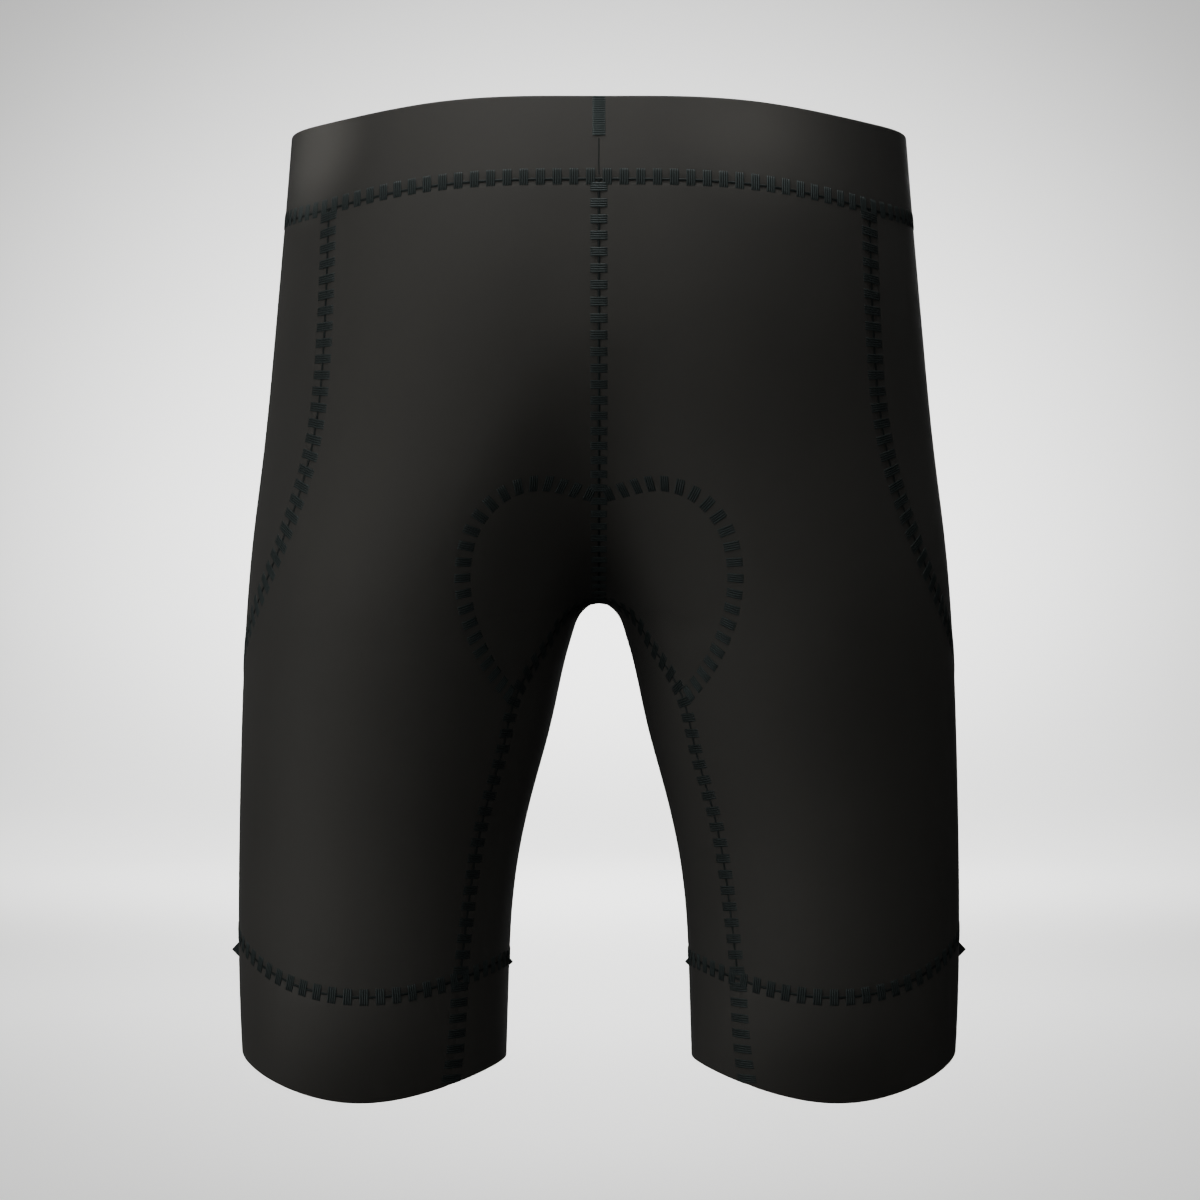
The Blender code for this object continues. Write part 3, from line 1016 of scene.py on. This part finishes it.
for name, line in flatlocked.items():
    kind = name.removesuffix("_right").removesuffix("_left")
    length = WIDE_RUNGS.get(kind, RUNG_LENGTH)
    raised = WAIST_RAISE if kind == "waist" else 0.0
    threads.append(rungs(f"{name}_rungs", line, length, raised))
    threads.append(cord(f"{name}_cord", line))
print("threads laid on", len(flatlocked), "seams")

# %% [markdown]
# Two lines have rungs and no cord: the one that holds the seat pad, and the join of the
# hem bands below the inseam.

# %% Lines without a cord
HEM_JOIN_LENGTH = 0.0120
hem_join = hem_band_points()[::-1, 0]
for hand, side in HANDS.items():
    turned = (side, 1, 1)
    threads.append(rungs(f"pad_rungs_{hand}", pad_line * turned))
    threads.append(rungs(f"hem_join_rungs_{hand}", hem_join * turned, HEM_JOIN_LENGTH))
print("pieces of thread so far:", len(threads))

# %% [markdown]
# The waistband's join is held by a bar tack at the top, a ladder of short threads close
# together, and goes on below it as a thin line.

# %% Bar tack
TACK_LENGTH = 0.019
TACK_WIDTH = 0.0066
TACK_THREADS = 18
JOIN_RADIUS = 0.00025


def bar_tack():
    """Level threads from the waist edge down the centre back."""
    edge = float(waist_edge_at(-90))
    heights = np.linspace(edge - THREAD_PITCH, edge - TACK_LENGTH, TACK_THREADS)
    centres = form(middle_turn(heights, -1), heights)
    across = np.tile([1.0, 0.0, 0.0], (TACK_THREADS, 1))
    along = np.tile([0.0, 0.0, 1.0], (TACK_THREADS, 1))
    return lay_threads("waist_tack", centres, across, along, TACK_WIDTH)


join = waistband_points()[:, 0]
join = join[join[:, 2] < waist_edge_at(-90) - TACK_LENGTH]
threads.append(bar_tack())
threads.append(cord("waist_join_cord", join, radius=JOIN_RADIUS))
print("threads in the bar tack:", TACK_THREADS)

# %% [markdown]
# Where the stitches down the outside of the leg end, loops of thread stand off the cloth in
# a small peak, which shows on the outline. A smaller one shows on the inside of the leg. Each
# is made of the same threads as the rungs, arched higher and higher over each other.

# %% Thread loops
LOOP_COUNT = 8
LOOP_HEIGHT = 0.0036
LOOP_LENGTH = 0.0078
OUTER_OVERRUN = 0.0111
INNER_OVERRUN = 0.0032
INNER_SHARE = 0.4


def thread_loops(name, turn, overrun, side, share=1.0):
    """Loops of thread, one over the other, that peak off the cloth where a seam ends."""
    centre = form(turn, hem_height(HEM_SEAM, turn) - overrun) * (side, 1, 1)
    along = np.tile([0.0, 1.0, 0.0], (LOOP_COUNT * THREADS_IN_RUNG, 1))
    across = np.tile([0.0, 0.0, 1.0], (len(along), 1))
    centres = centre + along * np.repeat(THREAD_OFFSETS, LOOP_COUNT)[:, None]
    arches = np.tile(np.linspace(0, LOOP_HEIGHT, LOOP_COUNT), THREADS_IN_RUNG)
    return lay_threads(name, centres, across, along, LOOP_LENGTH * share, arches * share)


for hand, side in HANDS.items():
    outer_end = (0.0, OUTER_OVERRUN, side)
    inner_end = (math.pi, INNER_OVERRUN, side, INNER_SHARE)
    threads.append(thread_loops(f"outer_loops_{hand}", *outer_end))
    threads.append(thread_loops(f"inner_loops_{hand}", *inner_end))
print("pieces of thread:", len(threads))

# %% [markdown]
# ## Finishes
# Shader maths reads better as sums than as a tangle of nodes, so a small class stands for a
# socket, and its operators add the Math nodes.

# %% Sockets that can be added and multiplied


class Signal:
    """A socket of a finish, which adds Math nodes when it is reckoned with."""

    def __init__(self, finish, socket):
        self.finish = finish
        self.socket = socket

    def math(self, operation, *values):
        sockets = dict(enumerate(values))
        return self.finish.node("ShaderNodeMath", {"operation": operation}, sockets)

    def __add__(self, other):
        return self.math("ADD", self, other)

    def __radd__(self, other):
        return self.math("ADD", other, self)

    def __sub__(self, other):
        return self.math("SUBTRACT", self, other)

    def __rsub__(self, other):
        return self.math("SUBTRACT", other, self)

    def __mul__(self, other):
        return self.math("MULTIPLY", self, other)

    def __rmul__(self, other):
        return self.math("MULTIPLY", other, self)

    def __abs__(self):
        return self.math("ABSOLUTE", self)

    def sine(self):
        return self.math("SINE", self)


print("what a signal can do:", [name for name in vars(Signal) if name.isalpha()])

# %% [markdown]
# A finish is a material. Nodes of every other kind come from its one method, which is given
# the node's type, its settings, and what goes into its sockets. Two kinds are used so often
# that they have short names: noise, and a colour between two others.

# %% A finish and its nodes


class Finish:
    """A material and the one method that makes its nodes."""

    def __init__(self, name, **fixed):
        self.material = bpy.data.materials.new(name)
        self.material.use_nodes = True
        self.tree = self.material.node_tree
        self.shader = self.tree.nodes["Principled BSDF"]
        self.shade(**fixed)

    def node(self, kind, settings=None, sockets=None, output=0):
        """Makes one node, sets it up, feeds its sockets and gives one of its outputs."""
        made = self.tree.nodes.new(kind)
        for name, value in (settings or {}).items():
            setattr(made, name, value)
        for key, value in (sockets or {}).items():
            self.feed(made.inputs[key], value)
        return Signal(self, made.outputs[output])

    def feed(self, socket, value):
        """Links a signal to a socket, or gives the socket a plain value."""
        if isinstance(value, Signal):
            self.tree.links.new(value.socket, socket)
        else:
            socket.default_value = value

    def shade(self, **values):
        """Feeds sockets of the shader, named with an underscore for each space."""
        for socket, value in values.items():
            self.feed(self.shader.inputs[socket.replace("_", " ")], value)

    def noise(self, place, scale, detail):
        """Soft noise, with more spots to the metre the larger its scale."""
        sockets = {"Vector": place, "Scale": scale, "Detail": detail}
        return self.node("ShaderNodeTexNoise", sockets=sockets)

    def between(self, dark, light, share):
        """A colour from the dark one (0) to the light one (1)."""
        tones = {"Factor": share, 6: dark, 7: light}
        return self.node("ShaderNodeMix", {"data_type": "RGBA"}, tones, output=2)


def tinted(colour, share):
    """A colour made darker or lighter, with its alpha."""
    return tuple(share * part for part in colour) + (1,)


print("a colour made half as light:", tinted((0.2, 0.4, 0.6), 0.5))

# %% [markdown]
# The knit is a fine warp knit of nylon and elastane. Up close it has upright wales and small
# slanted loops, about half a millimetre apart. A repeating wave on the cloth's own
# coordinates gives the loops, noise gives the haze of fibres, and a second, broad noise keeps
# the black from being one flat tone.

# %% Knit finishes
WALE_PITCH = 0.00052
COURSE_PITCH = 0.00042
COURSE_SLANT = 2.2
WALE_WEIGHT = 0.6
COURSE_WEIGHT = 0.4
FIBRE_SCALE = 1400
FIBRE_WEIGHT = 0.5
MOTTLE_SCALE = 14
MOTTLE_RANGE = {"From Min": 0.35, "From Max": 0.65}
BROAD_WEIGHT = 0.7
FINE_WEIGHT = 0.3
DARKEST = 0.86
LIGHTEST = 1.14
ROUGHNESS_SPREAD = 0.10
WARM_GLEAM = {"Specular_IOR_Level": 0.25, "Specular_Tint": (1.0, 0.975, 0.91, 1)}
FUZZ = {"Sheen_Weight": 0.02, "Sheen_Roughness": 0.5}
PANEL_BLACK = (0.0094, 0.0091, 0.0080)
BAND_BLACK = (0.0100, 0.0096, 0.0085)


def knit(name, colour, roughness, loop_height):
    """The knit in one colour, with loops that stand this high."""
    finish = Finish(name, **WARM_GLEAM, **FUZZ)
    cloth = finish.node("ShaderNodeUVMap", {"uv_map": "cloth"})
    across = finish.node("ShaderNodeSeparateXYZ", sockets={0: cloth}, output=0)
    down = finish.node("ShaderNodeSeparateXYZ", sockets={0: cloth}, output=1)
    wale = abs((across * (math.pi / WALE_PITCH)).sine())
    course = (down * (2 * math.pi / COURSE_PITCH) + wale * COURSE_SLANT).sine()
    loops = wale * WALE_WEIGHT + course * COURSE_WEIGHT
    place = finish.node("ShaderNodeTexCoord", output=3)
    fibres = finish.noise(place, FIBRE_SCALE, 2.0)
    broad = finish.noise(place, MOTTLE_SCALE, 3.0)
    height = loops + fibres * FIBRE_WEIGHT
    relief = {"Strength": 0.5, "Distance": loop_height, "Height": height}
    bump = finish.node("ShaderNodeBump", sockets=relief)
    mottle = broad * BROAD_WEIGHT + fibres * FINE_WEIGHT
    share = finish.node("ShaderNodeMapRange", sockets={"Value": mottle, **MOTTLE_RANGE})
    tone = finish.between(tinted(colour, DARKEST), tinted(colour, LIGHTEST), share)
    rough = (broad - 0.5) * ROUGHNESS_SPREAD + roughness
    finish.shade(Base_Color=tone, Roughness=rough, Normal=bump)
    return finish.material


panel_knit = knit("panel_knit", PANEL_BLACK, roughness=0.72, loop_height=0.00009)
band_knit = knit("band_knit", BAND_BLACK, roughness=0.70, loop_height=0.00008)
for node, piece in cloth_pieces.items():
    piece.data.materials.append(band_knit if "band" in node else panel_knit)
print("knit on", len(cloth_pieces), "pieces")

# %% [markdown]
# The thread is twisted polyester, a shade cooler and darker than the knit. Its own small
# noise stands for the twist, which is finer than a tenth of a millimetre. The cord is the
# same thread, but its colour and gleam are painted darker, as painted shade for its groove,
# and those of the bar tack are painted lighter, as painted light.

# %% Thread finishes
# The cord's tone and gleam are scaled down as painted shade, and the bar tack's are scaled up as
# painted light. The rungs keep the thread's own tone.
THREAD_PAINTED_LIGHT_AND_SHADE = {"cord": 0.5, "tack": 1.8, "rung": 1.0}
THREAD_DARK = (0.0050, 0.0066, 0.0064)
THREAD_LIGHT = (0.0076, 0.0096, 0.0094)
THREAD_ROUGHNESS = 0.62
THREAD_GLEAM = 0.20
COOL_TINT = (0.80, 0.95, 0.93, 1)
TWIST_SCALE = 2600
TWIST_RELIEF = {"Strength": 0.35, "Distance": 0.00006}


def twisted_thread(kind, shade):
    """Thread painted darker (painted shade) or lighter (painted light) than that of the rungs."""
    gleam = THREAD_GLEAM * shade
    finish = Finish(kind + "_thread", Specular_IOR_Level=gleam, Specular_Tint=COOL_TINT)
    place = finish.node("ShaderNodeTexCoord", output=3)
    twist = finish.noise(place, TWIST_SCALE, 1.0)
    bump = finish.node("ShaderNodeBump", sockets={**TWIST_RELIEF, "Height": twist})
    tone = finish.between(tinted(THREAD_DARK, shade), tinted(THREAD_LIGHT, shade), twist)
    rough = THREAD_ROUGHNESS + (twist - 0.5) * ROUGHNESS_SPREAD
    finish.shade(Base_Color=tone, Roughness=rough, Normal=bump)
    return finish.material


# The cord pieces get the finish with painted shade, and the bar tack gets the one with painted
# light.
thread_finishes = {kind: twisted_thread(kind, shade) for kind, shade in THREAD_PAINTED_LIGHT_AND_SHADE.items()}
for piece in threads:
    kind = piece.name.rpartition("_")[2]
    piece.data.materials.append(thread_finishes.get(kind, thread_finishes["rung"]))
print("thread on", len(threads), "pieces")

# %% [markdown]
# ## Studio
# The ground is plain and pale. A floor that curves up into a wall all round leaves no line
# behind the shorts, whichever side they are seen from.

# %% Floor and wall
FLOOR = -0.545
FLAT_RADIUS = 2.2
COVE_WIDTH = 2.6
COVE_HEIGHT = 3.0
COVE_STEPS = 10
WALL_TOP = 2.0
FLOOR_TONE = (0.80, 0.80, 0.79, 1)
FLOOR_GLOW = 0.70


def stage():
    """A round floor whose rim is drawn up into a wall, ring by ring."""
    ground = bmesh.new()
    bmesh.ops.create_circle(ground, cap_ends=True, segments=96, radius=FLAT_RADIUS)
    bmesh.ops.translate(ground, verts=ground.verts[:], vec=(0, 0, FLOOR))
    rim = [edge for edge in ground.edges if edge.is_boundary]
    angles = [math.pi / 2 * step / COVE_STEPS for step in range(COVE_STEPS + 1)]
    rings = []
    for angle in angles:
        rise = COVE_HEIGHT * (1 - math.cos(angle))
        rings.append((FLAT_RADIUS + COVE_WIDTH * math.sin(angle), rise))
    rings.append((rings[-1][0], COVE_HEIGHT + WALL_TOP))
    for before, ring in zip(rings, rings[1:]):
        grown = bmesh.ops.extrude_edge_only(ground, edges=rim)["geom"]
        corners = [item for item in grown if isinstance(item, bmesh.types.BMVert)]
        rim = [item for item in grown if isinstance(item, bmesh.types.BMEdge)]
        wider = ring[0] / before[0]
        bmesh.ops.scale(ground, verts=corners, vec=(wider, wider, 1))
        bmesh.ops.translate(ground, verts=corners, vec=(0, 0, ring[1] - before[1]))
    bmesh.ops.recalc_face_normals(ground, faces=ground.faces[:])
    floor = placed("floor", smooth_mesh("floor", ground))
    glow = {"Emission_Color": FLOOR_TONE, "Emission_Strength": FLOOR_GLOW}
    finish = Finish("floor", Base_Color=FLOOR_TONE, Roughness=0.9, **glow)
    floor.data.materials.append(finish.material)
    floor.visible_diffuse = False
    floor.visible_glossy = False
    return floor


floor = stage()
print("the floor's depth below the waist in m:", -FLOOR)

# %% [markdown]
# ## Light
# A lamp is placed by how far it is turned round the shorts and how high it stands, or by
# its place in metres. Light linking gives each lamp a list of what it lights, so the cloth
# and the room can be lit apart.

# %% A lamp and what it lights
SHORTS_MIDDLE = Vector((0.0, 0.0, -0.22))


def lit_only(name, pieces):
    """A collection of what a lamp lights."""
    group = bpy.data.collections.new(name)
    for piece in pieces:
        group.objects.link(piece)
    return group


def lamp(name, place, target, size, power, lit, cone=None):
    """A round soft lamp, or a spot lamp where a cone in degrees is given."""
    light = bpy.data.lights.new(name, "SPOT" if cone else "AREA")
    if cone:
        light.shadow_soft_size = size / 2
        light.spot_size = math.radians(cone)
        light.spot_blend = 1.0
    else:
        light.shape = "DISK"
        light.size = size
    light.energy = power
    holder = placed(name, light)
    holder.location = place
    ahead = Vector(target) - Vector(place)
    holder.rotation_euler = ahead.to_track_quat("-Z", "Y").to_euler()
    holder.visible_camera = False
    holder.light_linking.receiver_collection = lit


def round_the_shorts(azimuth, elevation, distance):
    """A place seen from the middle of the shorts. Azimuth 0 is the camera's side."""
    turn = math.radians(azimuth)
    rise = math.radians(elevation)
    level = distance * math.cos(rise)
    aside = level * math.sin(turn)
    return SHORTS_MIDDLE + Vector((aside, -level * math.cos(turn), distance * math.sin(rise)))


garment = lit_only("lit_cloth", list(cloth_pieces.values()) + threads)
ground = lit_only("lit_ground", [floor])

# %% [markdown]
# The light is soft and comes from the upper left, with weaker lamps above, at both sides,
# beside the camera and low before the legs. A wide one on the far side is for the front of
# the shorts. One narrow spot makes the gleam on the left end of the waistband, and another
# lifts its right part. The room has spots of its own, which stand behind the shorts, so its
# brightness fades outwards without touching the cloth. Each line gives a lamp's name, place
# and aim, its size in metres, its power in watts, what it lights, and the cone of a spot.

# %% Set up the lamps
ROOM_LIGHT = 0.05
lamp("upper_left", round_the_shorts(-40, 60, 2.4), SHORTS_MIDDLE, 1.2, 44, garment)
lamp("top", round_the_shorts(0, 85, 1.1), SHORTS_MIDDLE, 0.5, 15.8, garment)
lamp("left", round_the_shorts(-60, -10, 1.1), SHORTS_MIDDLE, 0.5, 8.0, garment)
lamp("camera_left", round_the_shorts(-11, 9, 1.1), SHORTS_MIDDLE, 0.5, 4.3, garment)
lamp("camera_low", (0.2, -1.0, -0.6), (0.05, 0.0, -0.36), 0.4, 0.45, garment)
lamp("right", round_the_shorts(60, -10, 2.4), SHORTS_MIDDLE, 1.2, 10.7, garment)
lamp("front", round_the_shorts(175, 20, 2.4), SHORTS_MIDDLE, 1.6, 60, garment)
lamp("band_end", (-0.55, -0.60, 0.22), (-0.1335, -0.048, -0.0160), 0.05, 165, garment, cone=3.2)
lamp("band_right", (-0.10, -1.00, 0.25), (0.078, -0.095, -0.012), 0.04, 45, garment, cone=4.5)
lamp("wall_wash", (0.0, 0.6, 1.6), (0.0, 3.9, 0.0), 0.6, 1150, ground, cone=50)
lamp("wall_centre", (0.0, 0.6, 1.6), (0.0, 3.9, 0.0), 0.6, 510, ground, cone=35)
lamp("floor_wash", (0.0, 0.6, 1.0), (0.0, 2.4, -0.5), 0.6, 600, ground, cone=64)
lamp("floor_sky", (0.0, 1.2, 2.0), (0.0, 1.4, FLOOR), 0.6, 250, ground, cone=70)
lamp("floor_near", (0.0, 0.9, 1.2), (0.0, 0.2, FLOOR), 0.6, 175, ground, cone=27)
lamp("floor_middle", (0.0, 0.9, 1.4), (0.0, 0.9, FLOOR), 0.6, 260, ground, cone=35)
world = bpy.data.worlds.new("room")
world.use_nodes = True
background = world.node_tree.nodes["Background"]
background.inputs["Color"].default_value = (1, 1, 1, 1)
background.inputs["Strength"].default_value = ROOM_LIGHT
bpy.context.scene.world = world
print("lamps:", len(bpy.data.lights))

# %% [markdown]
# ## Sizes
# Cloth and thread may stand out of the solids a little.
